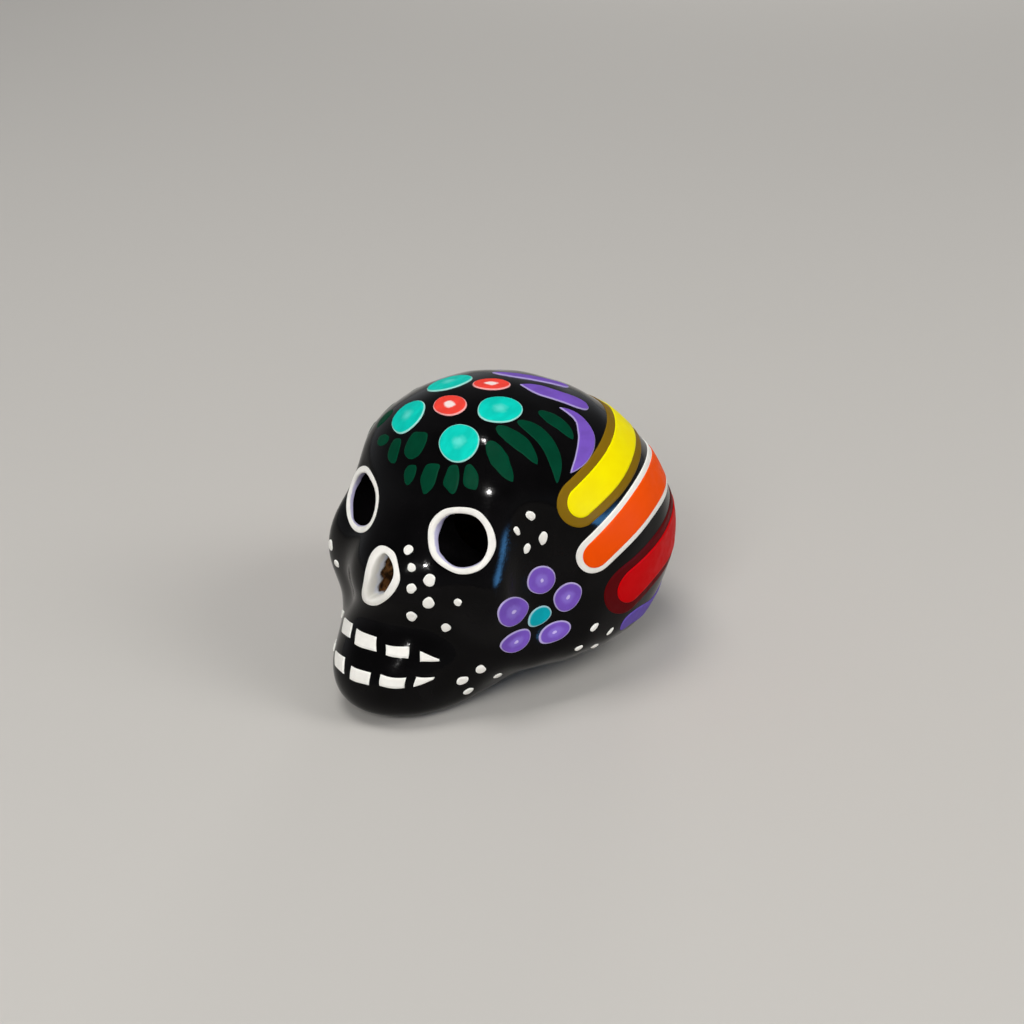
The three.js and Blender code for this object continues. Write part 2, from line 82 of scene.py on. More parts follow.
# How fine the clay is outside and inside, and how sharp an edge stays sharp
OUTER_DIVISIONS = 7
INNER_DIVISIONS = 5
SHARP_EDGE = math.radians(40)

# The coat is grainier over this distance from the hollow of the temple
GRAIN_SPREAD = 2.5

# Holes, cut straight back: places as longitude and latitude, and how deep the white paint goes in
LEFT_EYE = 28.2, 25.6
RIGHT_EYE = -25.8, 27.7
NOSE = 2.1, 8.5
CUT_MARGIN = 5.0
EYE_LINING = 1.35
EYE_LINING_BELOW = 0.3
NOSE_LINING = 2.7
NOSE_LINING_BELOW = 1.0

# The paint round the eyes by its corners, in millimetres across and up, and the holes as a share of it
LEFT_RING = [
    (4.2, -0.8), (2.8, 2.2), (0.35, 3.85), (-3.1, 3.4),
    (-4.55, 1.0), (-2.7, -2.35), (0.7, -3.85), (3.7, -3.0),
]
RIGHT_RING = [
    (4.25, -0.6), (2.8, 2.4), (-0.75, 3.85), (-3.4, 2.8),
    (-4.2, 0.6), (-2.05, -2.4), (0.4, -3.5), (3.4, -2.5),
]
EYE_SHARE = 0.86, 0.83
EYE_DROP = 0.0, -0.1

# The nose by the corners of its hole and of its paint, in millimetres across and up from its place
NOSE_HOLE = [
    (2.1, 0.7), (1.47, 2.27), (-0.19, 3.17), (-1.2, 2.18),
    (-1.55, -0.45), (-2.02, -3.2), (-0.55, -3.07), (1.09, -1.66),
]
NOSE_RING = [
    (3.0, 0.9), (1.5, 3.1), (-0.15, 3.8), (-1.6, 3.7), (-2.35, 2.75), (-2.4, 1.1),
    (-2.5, -1.0), (-3.05, -3.4), (-2.55, -4.2), (-0.55, -3.9), (1.6, -2.4), (2.75, -0.8),
]

# Clay that was pushed in behind the nose hole: how far, and over how many degrees
NOSE_BURR = 2.4
NOSE_BURR_SPREAD = 14.0

# Paint stands this high on the clay, its edge rises over this width, and it is closed this deep in the clay
PAINT = 0.2
EDGE = 0.3
BURIED = 0.12

# Heights of the flat film and of the ridge along its edge, as shares of the paint's height
FILM_SHARE = 0.86
RIDGE_SHARE = 0.16

# Width of the ridge as a share of the edge's, sinking of the outline as a share of the depth, width of a nub
RIDGE_SPREAD = 0.6
SINK_SHARE = 0.4
NUB_SPREAD = 0.16

# Lip on the clay, from its outer edge inward: share of its width, and height
LIP_OVER = [
    (1.0, -BURIED), (1.0, 0.03), (0.94, 0.11), (0.84, 0.15),
    (0.6, 0.17), (0.3, 0.16), (0.1, 0.12), (0.02, 0.08),
]

# Lip down the wall and back in the clay: how far it lies in the clay, its raggedness, and share of its depth
LIP_DOWN = [
    (-0.05, 0.0, 0.015), (-0.12, 0.0, 0.08), (-0.17, 0.0, 0.2), (-0.2, 0.15, 0.5), (-0.2, 0.2, 0.75),
    (-0.2, 0.2, 0.95), (-0.1, 0.0, 1.0), (0.12, 0.0, 1.0), (0.25, 0.0, 0.6), (0.3, 0.0, 0.3),
]
LIP_UNEVEN = 0.05
LINING_UNEVEN = 0.1
LINING_RAGGED = 0.3

# How fine the marks are: steps round or along them, rings inside an outline and points across a stroke
LOOP_STEPS = 120
DAB_STEPS = 56
DOT_STEPS = 28
TOOTH_STEPS = 18
STROKE_STEPS = 40
BAND_STEPS = 160
CORNER_STEPS = 40
ROUTE_STEPS = 600
RINGS = np.array([0.1, 0.2, 0.32, 0.45, 0.58, 0.7, 0.8, 0.88, 0.93, 0.965, 0.985, 1.0])
ACROSS = np.sin(np.linspace(-math.pi / 2, math.pi / 2, 15))
TURN = np.arange(LOOP_STEPS) / LOOP_STEPS * FULL_TURN

# Unevenness of outlines as shares of their size, and the waves that make it up
WAVES = 4
DAB_UNEVEN = 0.025
DOT_UNEVEN = 0.07
STROKE_UNEVEN = 0.03
BAND_UNEVEN = 0.02
TOOTH_UNEVEN = 0.05

# Least width of a stroke as a share, and the tip and the heel of a brush stroke as shares of its length
LEAST_WIDTH = 0.02
TIP = 0.3
HEEL = 0.15

# Colours as they are written in the sRGB scale
COLOURS = {
    "black": "090809", "white": "f6f4ee", "teal": "0acfbe", "side_teal": "0aa0ae", "coral": "fa483c",
    "green": "023f2a", "purple": "7855be", "olive": "85660f", "yellow": "ffec00", "orange": "ff5400",
    "dark_red": "5a0508", "red": "cd0005", "violet": "6a55b0",
}


def linear(text):
    """Linear colour of a hex triple."""
    parts = [int(text[i:i + 2], 16) / 255 for i in (0, 2, 4)]
    return tuple(c / 12.92 if c <= 0.04045 else ((c + 0.055) / 1.055) ** 2.4 for c in parts)


def unit(v):
    """Rows of v at length one."""
    return v / np.linalg.norm(v, axis=-1, keepdims=True)


# Clay form

def fillet(a, b, k):
    """Union of two signed depths with a round fillet."""
    h = np.maximum(k - np.abs(a - b), 0) / k
    return np.minimum(a, b) - h * h * k / 4


def egg(p, size):
    """Signed depth in an ellipsoid about the origin, negative inside."""
    half = np.array(size) / 2
    k0 = np.linalg.norm(p / half, axis=-1)
    k1 = np.linalg.norm(p / half ** 2, axis=-1)
    return k0 * (k0 - 1) / np.maximum(k1, 1e-9)


def clay(points):
    """Signed depth of points in the clay, negative inside. Both sides are alike."""
    p = points.copy()
    p[:, 0] = np.abs(p[:, 0])
    z = p[:, 2]
    size, centre = CRANIUM
    c, s = math.cos(CRANIUM_TILT), math.sin(CRANIUM_TILT)
    d = egg((p - centre) @ np.array([[1, 0, 0], [0, c, s], [0, -s, c]]), size)
    for (size, centre), k in ((JAW, BODY_FILLET), (FOOT, BASE_FILLET), (BROW, FACE_FILLET),
                              (MIDFACE, FACE_FILLET), (MOUTH, FACE_FILLET), (CHEEK, FACE_FILLET)):
        d = fillet(d, egg(p - centre, size), k)
    d = -fillet(-d, egg(p - TEMPLE[1], TEMPLE[0]), TEMPLE_FILLET)
    return np.maximum(-fillet(-d, z + BASE_FLAT, BASE_FILLET), -z)


def reach(origin, ways, depth=0.0, far=FAR):
    """Points along rays where the clay is that deep."""
    near = np.zeros(len(ways))
    end = np.full(len(ways), far)
    for _ in range(HALVINGS):
        middle = (near + end) / 2
        inside = clay(origin + ways * middle[:, None]) < -depth
        near = np.where(inside, middle, near)
        end = np.where(inside, end, middle)
    return origin + ways * near[:, None]


def aim(places):
    """Directions from longitude and latitude in degrees."""
    lon, lat = np.radians(np.atleast_2d(places)).T
    return np.stack([np.cos(lat) * np.sin(lon), -np.cos(lat) * np.cos(lon), np.sin(lat)], axis=1)


def uneven(p):
    """Soft waves in clay that was smoothed by hand, with none at the base."""
    x, y, z = p.T
    wave = np.sin(0.52 * x + 0.31 * y + 1.1) * np.sin(0.44 * z - 0.23 * y)
    wave = wave + np.sin(0.9 * y - 0.55 * z + 0.37 * x + 2.0)
    return UNEVEN * wave * np.clip(z / UNEVEN_RISE, 0, 1)


def normals(p):
    """Outward normals of the clay at points on it."""
    steps = NORMAL_STEP * np.eye(3)
    return unit(np.stack([clay(p + step) - clay(p - step) for step in steps], axis=1))


def skin(ways):
    """Points on the clay in directions from the heart, and the normals there."""
    p = reach(HEART, ways)
    n = normals(p)
    return p + n * uneven(p)[:, None], n


# Meshes

def mesh_of(name, points, faces, material):
    """A mesh from points in millimetres."""
    mesh = bpy.data.meshes.new(name)
    mesh.from_pydata(((np.asarray(points) + SHIFT) * MM).tolist(), [], faces)
    mesh.materials.append(material)
    return mesh


def add_object(name, data):
    """A new object in the scene."""
    made = bpy.data.objects.new(name, data)
    bpy.context.scene.collection.objects.link(made)
    return made


def add_field(mesh, name, values):
    """A number for each point of a mesh, which its material reads."""
    layer = mesh.attributes.new(name, "FLOAT", "POINT")
    layer.data.foreach_set("value", np.asarray(values, dtype=np.float32))


def make(name, points, faces, material, nodes, fields=None):
    """A smooth piece that rides on the one body and stands for its nodes."""
    mesh = mesh_of(name, points, faces, material)
    for field, values in (fields or {}).items():
        add_field(mesh, field, values)
    mesh.shade_smooth()
    piece = add_object(name, mesh)
    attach(piece, "root")
    if nodes:
        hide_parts(*nodes)
    return piece


class Heap:
    """Several marks of one paint, gathered into one piece."""

    def __init__(self):
        self.points, self.faces, self.edge, self.middle = [], [], [], []

    def add(self, points, faces, edge, middle):
        """Adds a mark, with its fields for each point."""
        start = sum(len(p) for p in self.points)
        self.points.append(points)
        self.faces += [tuple(start + i for i in f) for f in faces]
        self.edge.append(edge)
        self.middle.append(middle)

    def finish(self, name, material, nodes):
        """Makes the piece."""
        fields = {"edge": np.concatenate(self.edge), "middle": np.concatenate(self.middle)}
        make(name, np.concatenate(self.points), self.faces, material, nodes, fields)


def crown(edge_distance, height):
    """Height of paint by the distance from its outline: a rounded edge, a faint ridge, then a flat film."""
    t = np.clip(edge_distance / EDGE, 0, 1)
    rounded = np.sqrt(1 - (1 - t) ** 2)
    ridge = RIDGE_SHARE * np.exp(-((edge_distance - EDGE) / (RIDGE_SPREAD * EDGE)) ** 2)
    return height * (FILM_SHARE * rounded + ridge * (t > 0))


def film(heap, ways, faces, rim, edge_distance, middle, height, lift=0.0, nub=0.0):
    """Raised paint over a patch of directions, closed underneath inside the clay."""
    p, n = skin(ways)
    h = lift + crown(edge_distance, height) + nub * np.exp(-((1 - middle) / NUB_SPREAD) ** 2)
    h = np.where(edge_distance <= 0, lift - SINK_SHARE * BURIED, h)
    count = len(p)
    points = np.concatenate([p + n * h[:, None], p - n * BURIED])
    closed = list(faces) + [tuple(count + i for i in reversed(f)) for f in faces]
    for i, a in enumerate(rim):
        b = rim[(i + 1) % len(rim)]
        closed.append((a, count + a, count + b, b))
    heap.add(points, closed, np.tile(np.clip(edge_distance / EDGE, 0, 1), 2), np.tile(middle, 2))


def run_along(points):
    """Length from the first point to each point of a line."""
    return np.concatenate([[0], np.cumsum(np.linalg.norm(np.diff(points, axis=0), axis=1))])


def smooth_loop(corners, count):
    """Even points on a smooth closed curve through corners."""
    c = np.array(corners, dtype=float)
    t = np.linspace(0, 1, CORNER_STEPS, endpoint=False)[:, None]
    rows = []
    for i in range(len(c)):
        p0, p1, p2, p3 = (c[(i + k) % len(c)] for k in (-1, 0, 1, 2))
        bend = 2 * p0 - 5 * p1 + 4 * p2 - p3
        twist = 3 * p1 - p0 - 3 * p2 + p3
        rows.append(p1 + ((p2 - p0) * t + bend * t ** 2 + twist * t ** 3) / 2)
    dense = np.concatenate(rows + [rows[0][:1]])
    run = run_along(dense)
    at = np.arange(count) / count * run[-1]
    return np.stack([np.interp(at, run, dense[:, k]) for k in (0, 1)], axis=1)


def wobble(angle, seed, amount):
    """Hand-made unevenness of an outline, the same on every run."""
    phase = np.random.default_rng(seed).uniform(0, FULL_TURN, WAVES)
    return 1 + amount * sum(np.sin((k + 2) * angle + phase[k]) / (k + 1) for k in range(WAVES))


def eased(count):
    """Steps from zero to one that are closer at the ends."""
    return (1 - np.cos(np.linspace(0, math.pi, count + 1))) / 2


def fan(heap, centre, outline, height, nub):
    """Raised paint inside an outline, in rings from its middle."""
    steps = len(outline)
    least = np.linalg.norm(outline - centre, axis=1).min()
    rings = centre + RINGS[:, None, None] * (outline - centre)
    flat = np.concatenate([centre[None], rings.reshape(-1, 3)])
    ring = np.concatenate([[0], np.repeat(RINGS, steps)])
    faces = [(0, 1 + i, 1 + (i + 1) % steps) for i in range(steps)]
    for k in range(len(RINGS) - 1):
        for i in range(steps):
            j = (i + 1) % steps
            p, q = 1 + k * steps, 1 + (k + 1) * steps
            faces.append((p + i, q + i, q + j, p + j))
    rim = [1 + (len(RINGS) - 1) * steps + i for i in range(steps)]
    film(heap, unit(flat - HEART), faces, rim, (1 - ring) * least, 1 - ring, height, nub=nub)


def dab(heap, start, end, width, seed, nub=0.0, rough_edge=DAB_UNEVEN, steps=DAB_STEPS):
    """An oval dab of paint between two places on the clay."""
    (a, b), _ = skin(aim([start, end]))
    centre, normal = skin(unit(((a + b) / 2 - HEART)[None]))
    half = (b - a) / 2
    half = half - normal[0] * (half @ normal[0])
    side = np.cross(normal[0], half)
    side *= width / 2 / np.linalg.norm(side)
    angle = (np.arange(steps) + 0.5) / steps * FULL_TURN
    swell = wobble(angle, seed, rough_edge)
    outline = centre + np.outer(swell * np.cos(angle), half) + np.outer(swell * np.sin(angle), side)
    fan(heap, centre[0], outline, PAINT, nub)


def patch(heap, corners, height, nub=0.0):
    """A mark of paint with a smooth outline through corners on the clay."""
    outline, _ = skin(aim(smooth_loop(corners, DAB_STEPS)))
    centre, _ = skin(unit((outline.mean(axis=0) - HEART)[None]))
    fan(heap, centre[0], outline, height, nub)


def net(rows, columns):
    """Faces and rim of a net of points: rows run along it and columns to the left, as seen from outside."""
    faces = []
    for i in range(rows - 1):
        for k in range(columns - 1):
            a = i * columns + k
            faces.append((a, a + columns, a + columns + 1, a + 1))
    last, end = rows - 1, columns - 1
    rim = [i * columns for i in range(last)] + [last * columns + k for k in range(end)]
    rim += [(last - i) * columns + end for i in range(last)] + [end - k for k in range(end)]
    return faces, rim


def tooth(heap, corners, seed):
    """A four-cornered mark: lower left, lower right, upper right and upper left as it is seen."""
    (a, b, c, d), _ = skin(aim(corners))
    s = eased(TOOTH_STEPS)
    u, v = (g.ravel()[:, None] for g in np.meshgrid(s, s, indexing="ij"))
    phase = np.random.default_rng(seed).uniform(0, FULL_TURN, 2)
    rise = TOOTH_UNEVEN * np.sin(4 * u + phase[0]) * (2 * v - 1) ** 2
    drift = TOOTH_UNEVEN / 2 * np.sin(3 * v + phase[1]) * (2 * u - 1) ** 2
    low = a + (b - a) * u
    high = d + (c - d) * u
    flat = low + (high - low) * (v + rise) + (b - a) * drift
    tall = np.linalg.norm(high - low, axis=1)
    wide = np.linalg.norm((b - a) * (1 - v) + (c - d) * v, axis=1)
    u, v = u[:, 0], v[:, 0]
    edge = np.minimum(np.minimum(u, 1 - u) * wide, np.minimum(v, 1 - v) * tall)
    film(heap, unit(flat - HEART), *net(len(s), len(s)), edge, np.zeros(len(u)), PAINT)


def natural_spline(t, y, x):
    """Cubic spline through y at t, with free ends, read at x."""
    n = len(t)
    h = np.diff(t)
    a = np.eye(n)
    r = np.zeros(n)
    for i in range(1, n - 1):
        a[i, i - 1:i + 2] = h[i - 1], 2 * (h[i - 1] + h[i]), h[i]
        r[i] = 6 * ((y[i + 1] - y[i]) / h[i] - (y[i] - y[i - 1]) / h[i - 1])
    m = np.linalg.solve(a, r)
    i = np.clip(np.searchsorted(t, x) - 1, 0, n - 2)
    u, w = t[i + 1] - x, x - t[i]
    return ((m[i] * u ** 3 + m[i + 1] * w ** 3) / (6 * h[i])
            + (y[i] / h[i] - m[i] * h[i] / 6) * u + (y[i + 1] / h[i] - m[i + 1] * h[i] / 6) * w)


def curve(places, shares, inset):
    """Points at shares of a smooth route over the clay, cut back at both ends, and its length."""
    knots, _ = skin(aim(places))
    gaps = np.sqrt(np.linalg.norm(np.diff(knots, axis=0), axis=1))
    t = np.concatenate([[0], np.cumsum(gaps)])
    fine = np.linspace(0, t[-1], ROUTE_STEPS)
    dense = np.stack([natural_spline(t, knots[:, i], fine) for i in range(3)], axis=1)
    dense, _ = skin(unit(dense - HEART))
    run = run_along(dense)
    length = run[-1] - 2 * inset
    at = inset + shares * length
    return np.stack([np.interp(at, run, dense[:, i]) for i in range(3)], axis=1), length


def leafy(s):
    """Width of a leaf along its length: widest before the middle, then a long point."""
    return np.sqrt(s) * np.maximum(1 - s, 0) ** 0.7 * 1.9


def crescent(s):
    """Width of a crescent along its length: a point at both ends."""
    return np.maximum(np.sin(math.pi * s), 0) ** 0.8


def brushed(s):
    """Width of a stroke that starts in a point and ends round."""
    tip = np.sin(math.pi / 2 * np.minimum(s / TIP, 1))
    heel = np.maximum(s - (1 - HEEL), 0) / HEEL
    return tip * np.sqrt(np.maximum(1 - heel ** 2, 0))


def stroke(heap, places, width, seed, form=None, steps=STROKE_STEPS, height=PAINT,
           lift=0.0, inset=0.0, rough_edge=STROKE_UNEVEN):
    """A brush stroke along places on the clay. With no form it has round ends and an even width."""
    s = eased(steps)
    p, length = curve(places, s, inset)
    to_end = np.minimum(s, 1 - s) * length
    if form is None:
        end = np.minimum(to_end / (width / 2), 1)
        size = np.sqrt(np.maximum(1 - (1 - end) ** 2, 0))
    else:
        size = form(s)
    half = np.maximum(size, LEAST_WIDTH) * width / 2 * wobble(s * FULL_TURN, seed, rough_edge)
    side = unit(np.cross(normals(p), unit(np.gradient(p, axis=0))))
    points = p[:, None] + side[:, None] * (half[:, None, None] * ACROSS[None, :, None])
    inward = (1 - np.abs(ACROSS))[None]
    edge = np.minimum(inward * half[:, None], to_end[:, None])
    middle = inward * np.ones((len(s), 1))
    ways = unit(points.reshape(-1, 3) - HEART)
    film(heap, ways, *net(len(s), len(ACROSS)), edge.ravel(), middle.ravel(), height, lift)


# Materials, whose grain is in repeats per metre and whose relief is in metres

def blank(name, roughness, specular):
    """A new material with its shader, to be linked by the caller."""
    m = bpy.data.materials.new(name)
    m.use_nodes = True
    tree = m.node_tree
    shader = tree.nodes["Principled BSDF"]
    shader.inputs["Roughness"].default_value = roughness
    shader.inputs["Specular IOR Level"].default_value = specular
    return m, tree, shader


def node(tree, kind, **values):
    """A node with its sockets and settings filled in."""
    made = tree.nodes.new(kind)
    for key, value in values.items():
        if key in made.inputs.keys():
            made.inputs[key].default_value = value
        else:
            setattr(made, key, value)
    return made


def noise(tree, scale, detail, stretch=(1, 1, 1)):
    """Noise over the object."""
    where = node(tree, "ShaderNodeTexCoord")
    turn = node(tree, "ShaderNodeMapping", Scale=stretch)
    grain = node(tree, "ShaderNodeTexNoise", Scale=scale, Detail=detail)
    tree.links.new(where.outputs["Object"], turn.inputs["Vector"])
    tree.links.new(turn.outputs["Vector"], grain.inputs["Vector"])
    return grain.outputs["Fac"]


def attribute(tree, name):
    """A field of the mesh."""
    return node(tree, "ShaderNodeAttribute", attribute_name=name).outputs["Fac"]


def ramp(tree, value, low, high, out_low=0.0, out_high=1.0):
    """Value spread smoothly between two numbers."""
    made = node(tree, "ShaderNodeMapRange", interpolation_type="SMOOTHSTEP")
    for key, number in (("From Min", low), ("From Max", high), ("To Min", out_low), ("To Max", out_high)):
        made.inputs[key].default_value = number
    tree.links.new(value, made.inputs["Value"])
    return made.outputs["Result"]


def blend(tree, factor, first, second):
    """Colour mix, where each may be a colour or a socket."""
    made = node(tree, "ShaderNodeMix", data_type="RGBA")
    sockets = [s for s in made.inputs if s.type == "RGBA"]
    tree.links.new(factor, made.inputs["Factor"])
    for socket, value in zip(sockets, (first, second)):
        if isinstance(value, tuple):
            socket.default_value = (*value, 1)
        else:
            tree.links.new(value, socket)
    return next(s for s in made.outputs if s.type == "RGBA")


def bump(tree, shader, height, strength, distance):
    """Even fine relief on the shader."""
    made = node(tree, "ShaderNodeBump", Strength=strength, Distance=distance)
    tree.links.new(height, made.inputs["Height"])
    tree.links.new(made.outputs["Normal"], shader.inputs["Normal"])
    return made.outputs["Normal"]


def shade(colour, amount):
    """Colour made lighter above one and darker below."""
    return tuple(min(c * amount, 1) for c in colour)


def toward_white(colour, amount):
    """Colour mixed with white by a share."""
    return tuple(c + (1 - c) * amount for c in colour)


def ground_coat():
    """Glossy black ground coat, a little uneven, with the grain of the clay under it."""
    m, tree, shader = blank("black_ground_coat", roughness=0.1, specular=0.09)
    black = linear(COLOURS["black"])
    cloud = ramp(tree, noise(tree, scale=160, detail=3), 0.35, 0.7)
    tree.links.new(blend(tree, cloud, shade(black, 0.6), shade(black, 1.3)), shader.inputs["Base Color"])
    gloss = ramp(tree, noise(tree, scale=420, detail=5), 0.3, 0.75, out_low=0.07, out_high=0.14)
    tree.links.new(gloss, shader.inputs["Roughness"])
    soft = bump(tree, shader, noise(tree, scale=260, detail=3), strength=0.1, distance=0.0002)
    grain = node(tree, "ShaderNodeBump", Distance=0.00006)
    tree.links.new(noise(tree, scale=3200, detail=3), grain.inputs["Height"])
    tree.links.new(soft, grain.inputs["Normal"])
    strength = ramp(tree, attribute(tree, "hollow"), 0.2, 0.8, out_low=0.12, out_high=0.8)
    tree.links.new(strength, grain.inputs["Strength"])
    tree.links.new(grain.outputs["Normal"], shader.inputs["Normal"])
    return m


def bare_clay(name, brown, darkest):
    """Unpainted fired clay, mottled with dust and soot."""
    m, tree, shader = blank(name, roughness=0.85, specular=0.15)
    brown = linear(brown)
    mottle = noise(tree, scale=900, detail=6)
    tone = blend(tree, ramp(tree, mottle, 0.38, 0.62), shade(brown, darkest), brown)
    tree.links.new(tone, shader.inputs["Base Color"])
    gloss = ramp(tree, mottle, 0.3, 0.7, out_low=0.75, out_high=0.95)
    tree.links.new(gloss, shader.inputs["Roughness"])
    bump(tree, shader, mottle, strength=0.6, distance=0.0003)
    return m


# Raggedness of a spot's outline, as a share of the way from the edge to the middle
RAGGED_SPOT = 0.3


def paint(colour, pale_edge_highlight, name=None, spot=None, spot_from=0.0, spot_to=1.0, streak=0.1, halo=None):
    """Brushed paint: streaks, a paler line along the edge that is a painted highlight, and a spot with a
    halo in the middle if asked.
    """
    m, tree, shader = blank((name or colour) + "_paint", roughness=0.45, specular=0.03)
    main = linear(COLOURS[colour])
    grain = noise(tree, scale=700, detail=5, stretch=(1, 0.45, 0.6))
    base = blend(tree, ramp(tree, grain, 0.3, 0.72), shade(main, 1 - streak), shade(main, 1 + streak))
    # The paler line along each mark's edge is a painted highlight of its raised rim
    rim = toward_white(shade(main, 1.1), pale_edge_highlight)
    base = blend(tree, ramp(tree, attribute(tree, "edge"), 0.7, 0.3), base, rim)
    if spot:
        ragged = node(tree, "ShaderNodeMath", operation="MULTIPLY_ADD")
        tree.links.new(noise(tree, scale=1300, detail=3), ragged.inputs[0])
        ragged.inputs[1].default_value = RAGGED_SPOT
        tree.links.new(attribute(tree, "middle"), ragged.inputs[2])
        inward = ragged.outputs[0]
        mean = RAGGED_SPOT / 2
        if halo:
            base = blend(tree, ramp(tree, inward, 0.55, 0.9), base, linear(halo))
        base = blend(tree, ramp(tree, inward, spot_from + mean, spot_to + mean), base, linear(spot))
    tree.links.new(base, shader.inputs["Base Color"])
    gloss = ramp(tree, noise(tree, scale=900, detail=4), 0.3, 0.7, out_low=0.37, out_high=0.55)
    tree.links.new(gloss, shader.inputs["Roughness"])
    hairs = noise(tree, scale=1500, detail=4, stretch=(1, 0.35, 0.5))
    bump(tree, shader, hairs, strength=0.25, distance=0.00008)
    return m


# Clay body and its holes

def eye_loops(corners):
    """Outlines of an eye hole and of the paint round it."""
    outer = smooth_loop(corners, LOOP_STEPS)
    return outer * EYE_SHARE + EYE_DROP, outer


LEFT_LOOPS = eye_loops(LEFT_RING)
RIGHT_LOOPS = eye_loops(RIGHT_RING)
NOSE_LOOPS = smooth_loop(NOSE_HOLE, LOOP_STEPS), smooth_loop(NOSE_RING, LOOP_STEPS)


def ball(divisions):
    """Directions and faces of an even net of triangles all round."""
    sphere = bmesh.new()
    bmesh.ops.create_icosphere(sphere, subdivisions=divisions, radius=1.0)
    ways = unit(np.array([v.co[:] for v in sphere.verts]))
    faces = [tuple(v.index for v in f.verts) for f in sphere.faces]
    sphere.free()
    return ways, faces


def ring(place, loop, depth):
    """Points of a hole's outline round a place on the clay, moved back by a depth."""
    at = reach(HEART, aim(place))[0]
    return at + np.stack([loop[:, 0], np.full(len(loop), depth), loop[:, 1]], axis=1)


def cutter(place, loop, material):
    """Closed plug that cuts a hole."""
    past = WALL + CUT_MARGIN
    n = len(loop)
    faces = [(i, (i + 1) % n, n + (i + 1) % n, n + i) for i in range(n)]
    faces += [tuple(range(n))[::-1], tuple(range(n, 2 * n))]
    points = np.concatenate([ring(place, loop, past), ring(place, loop, -past)])
    return add_object("cutter", mesh_of("cutter", points, faces, material))


def pierce(body, tools):
    """Cuts the tools out of a body, and removes them."""
    for tool in tools:
        cut = body.modifiers.new("hole", "BOOLEAN")
        cut.object = tool
        cut.operation = "DIFFERENCE"
        cut.solver = "EXACT"
        cut.material_mode = "TRANSFER"
    graph = bpy.context.evaluated_depsgraph_get()
    pierced = bpy.data.meshes.new_from_object(body.evaluated_get(graph))
    body.modifiers.clear()
    whole = body.data
    body.data = pierced
    bpy.data.meshes.remove(whole)
    for tool in tools:
        bpy.data.objects.remove(tool)


def clay_body():
    """Hollow clay with the holes cut, as one piece: the seam is smoothed over and painted."""
    outer_ways, outer_faces = ball(OUTER_DIVISIONS)
    inner_ways, inner_faces = ball(INNER_DIVISIONS)
    from_nose = np.degrees(np.arccos(np.clip(inner_ways @ aim(NOSE)[0], -1, 1)))
    wall = WALL + NOSE_BURR * np.exp(-(from_nose / NOSE_BURR_SPREAD) ** 2)
    count = len(outer_ways)
    points = np.concatenate([skin(outer_ways)[0], reach(HEART, inner_ways, wall)])
    faces = outer_faces + [tuple(count + i for i in reversed(f)) for f in inner_faces]
    black = ground_coat()
    body = make("clay_body", points, faces, black, ["face_shell", "cranium_shell"])
    nostril = bare_clay("clay_nostril", "9c6b3c", 0.14)
    # The inside is a much darker brown than the clay in the nose: bare clay with painted shade for the
    # closed hollow
    body.data.materials.append(bare_clay("clay_inside", "2a1c12", 0.3))
    body.data.materials.append(nostril)
    for polygon in body.data.polygons[len(outer_faces):]:
        polygon.material_index = 1
    holes = (LEFT_EYE, LEFT_LOOPS, black), (RIGHT_EYE, RIGHT_LOOPS, black), (NOSE, NOSE_LOOPS, nostril)
    pierce(body, [cutter(place, loops[0], material) for place, loops, material in holes])
    mesh = body.data
    mesh.set_sharp_from_angle(angle=SHARP_EDGE)
    places = np.empty(3 * len(mesh.vertices))
    mesh.vertices.foreach_get("co", places)
    places = places.reshape(-1, 3) / MM - SHIFT
    places[:, 0] = np.abs(places[:, 0])
    from_hollow = np.maximum(egg(places - TEMPLE[1], TEMPLE[0]), 0)
    add_field(mesh, "hollow", np.exp(-(from_hollow / GRAIN_SPREAD) ** 2))


def onto(place, loop):
    """An outline round a place, laid straight back onto the clay."""
    behind = ring(place, loop, 2 * WALL)
    return reach(behind, np.tile([0.0, -1.0, 0.0], (len(loop), 1)), far=6 * WALL)


def lip(name, place, loops, deep, below, material, seed):
    """White paint over the clay round a hole and down its wall, with a share of the depth at the bottom."""
    edge, outer = (onto(place, loop) for loop in loops)
    along = np.roll(edge, -1, axis=0) - np.roll(edge, 1, axis=0)
    flat = unit(np.stack([along[:, 2], np.zeros(LOOP_STEPS), -along[:, 0]], axis=1))
    wide = wobble(TURN, seed, LIP_UNEVEN)
    low = np.maximum(-np.sin(TURN), 0)
    depth = deep * (1 - (1 - below) * low) * wobble(3 * TURN, seed + 1, LINING_UNEVEN)
    nib = wobble(TURN, seed + 2, LINING_RAGGED) - 1
    rows = []
    shares = []
    for share, lift in LIP_OVER:
        p, n = skin(unit(edge + (outer - edge) * (share * wide)[:, None] - HEART))
        rows.append(p + n * lift)
        shares.append(np.zeros(LOOP_STEPS))
    for into_clay, ragged, share in LIP_DOWN:
        rows.append(edge + flat * (into_clay + ragged * nib)[:, None] + np.outer(share * depth, [0, 1, 0]))
        shares.append(np.full(LOOP_STEPS, share))
    count = len(rows)
    points = np.stack(rows, axis=1).reshape(-1, 3)
    faces = []
    for i in range(LOOP_STEPS):
        j = (i + 1) % LOOP_STEPS
        for k in range(count):
            m = (k + 1) % count
            faces.append((i * count + k, i * count + m, j * count + m, j * count + k))
    # The middle field holds the share of the depth down the wall, which the lining materials turn into
    # painted shade
    fields = {"edge": np.ones(len(points)), "middle": np.stack(shares, axis=1).ravel()}
    make(name, points, faces, material, [name], fields)


